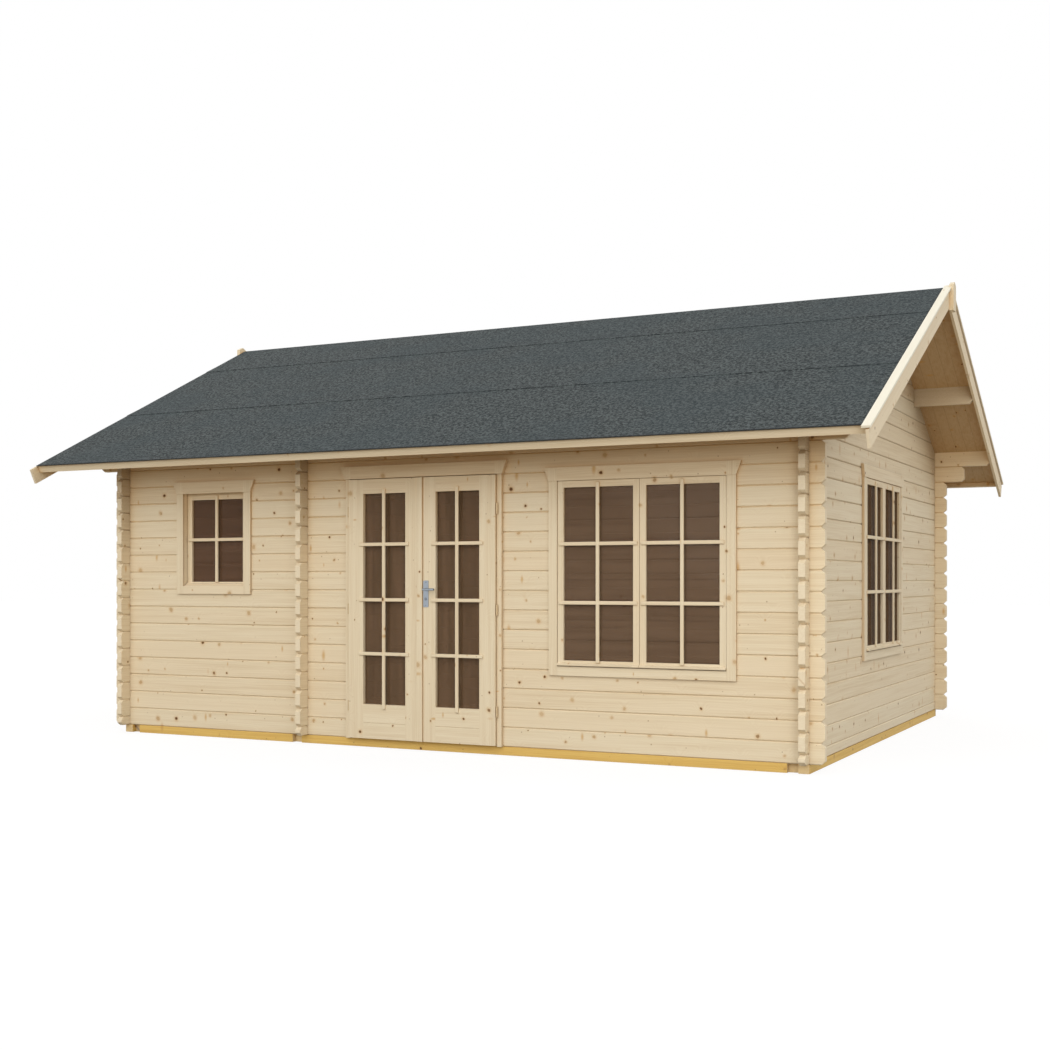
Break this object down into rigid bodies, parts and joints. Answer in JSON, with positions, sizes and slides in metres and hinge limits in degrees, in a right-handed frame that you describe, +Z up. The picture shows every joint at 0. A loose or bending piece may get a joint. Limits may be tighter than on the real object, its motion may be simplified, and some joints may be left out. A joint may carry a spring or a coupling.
{
  "type": "log cabin",
  "caption": "Gable-roofed timber log cabin with notched corners, a glazed double door, casement windows, a felt roof and a partitioned side room.",
  "frame": {"origin": "middle of the cabin's outline at ground level, under the foundation beams", "axes": "+X along the front wall to the right, -Y out of the front wall with the double door, +Z up"},
  "size_m": [6.654, 5.3846, 3.4504],
  "materials": {
    "log_wood": "planed untreated softwood",
    "roof_wood": "planed untreated softwood",
    "joinery_wood": "sanded untreated softwood",
    "treated_wood": "impregnated sawn softwood",
    "floor_wood": "planed softwood boards",
    "roof_felt": "mineral-surfaced bitumen felt",
    "glass": "clear float glass",
    "steel": "satin zinc-plated"
  },
  "bodies": {
    "cabin": {"front_wall_logs": "log_wood", "back_wall_logs": "log_wood", "left_gable_logs": "log_wood", "right_gable_logs": "log_wood", "left_gable_peak": "log_wood", "right_gable_peak": "log_wood", "partition_logs": "log_wood", "wall_plates": "log_wood", "purlins": "roof_wood", "roof_boards_front": "roof_wood", "roof_boards_back": "roof_wood", "eave_fascias": "roof_wood", "barge_boards": "roof_wood", "edge_strips": "roof_wood", "finials": "roof_wood", "door_frame": "joinery_wood", "door_threshold": "joinery_wood", "door_casing": "joinery_wood", "small_window_frame": "joinery_wood", "small_window_sash": "joinery_wood", "small_window_casing": "joinery_wood", "front_window_frame": "joinery_wood", "front_window_sashes": "joinery_wood", "front_window_casing": "joinery_wood", "gable_window_frame": "joinery_wood", "gable_window_sashes": "joinery_wood", "gable_window_casing": "joinery_wood", "foundation_front": "treated_wood", "foundation_back": "treated_wood", "foundation_sides": "treated_wood", "floor_joists": "treated_wood", "floor_main_room": "floor_wood", "floor_side_room": "floor_wood", "roof_felt_front": "roof_felt", "roof_felt_back": "roof_felt", "small_window_glass": "glass", "front_window_glass": "glass", "gable_window_glass": "glass", "frame_hinges": "steel"},
    "left_leaf": {"left_door_leaf": "joinery_wood", "left_door_glass": "glass", "meeting_strip": "joinery_wood", "left_leaf_hinges": "steel"},
    "right_leaf": {"right_door_leaf": "joinery_wood", "right_door_glass": "glass", "handle_plates": "steel", "right_leaf_hinges": "steel"},
    "lever": {"door_lever": "steel"}
  },
  "joints": [
    {"name": "left_leaf_hinge", "type": "hinge", "parent": "cabin", "child": "left_leaf", "pos_m": [-0.631, -2.175, 1.01], "axis": [0, 0, -1], "range_deg": [0, 110]},
    {"name": "right_leaf_hinge", "type": "hinge", "parent": "cabin", "child": "right_leaf", "pos_m": [0.601, -2.175, 1.01], "axis": [0, 0, 1], "range_deg": [0, 110]},
    {"name": "lever_turn", "type": "hinge", "parent": "right_leaf", "child": "lever", "pos_m": [0.0355, -2.166, 1.155], "axis": [0, 1, 0], "range_deg": [0, 40], "stiffness_Nm_per_rad": 0.8}
  ]
}
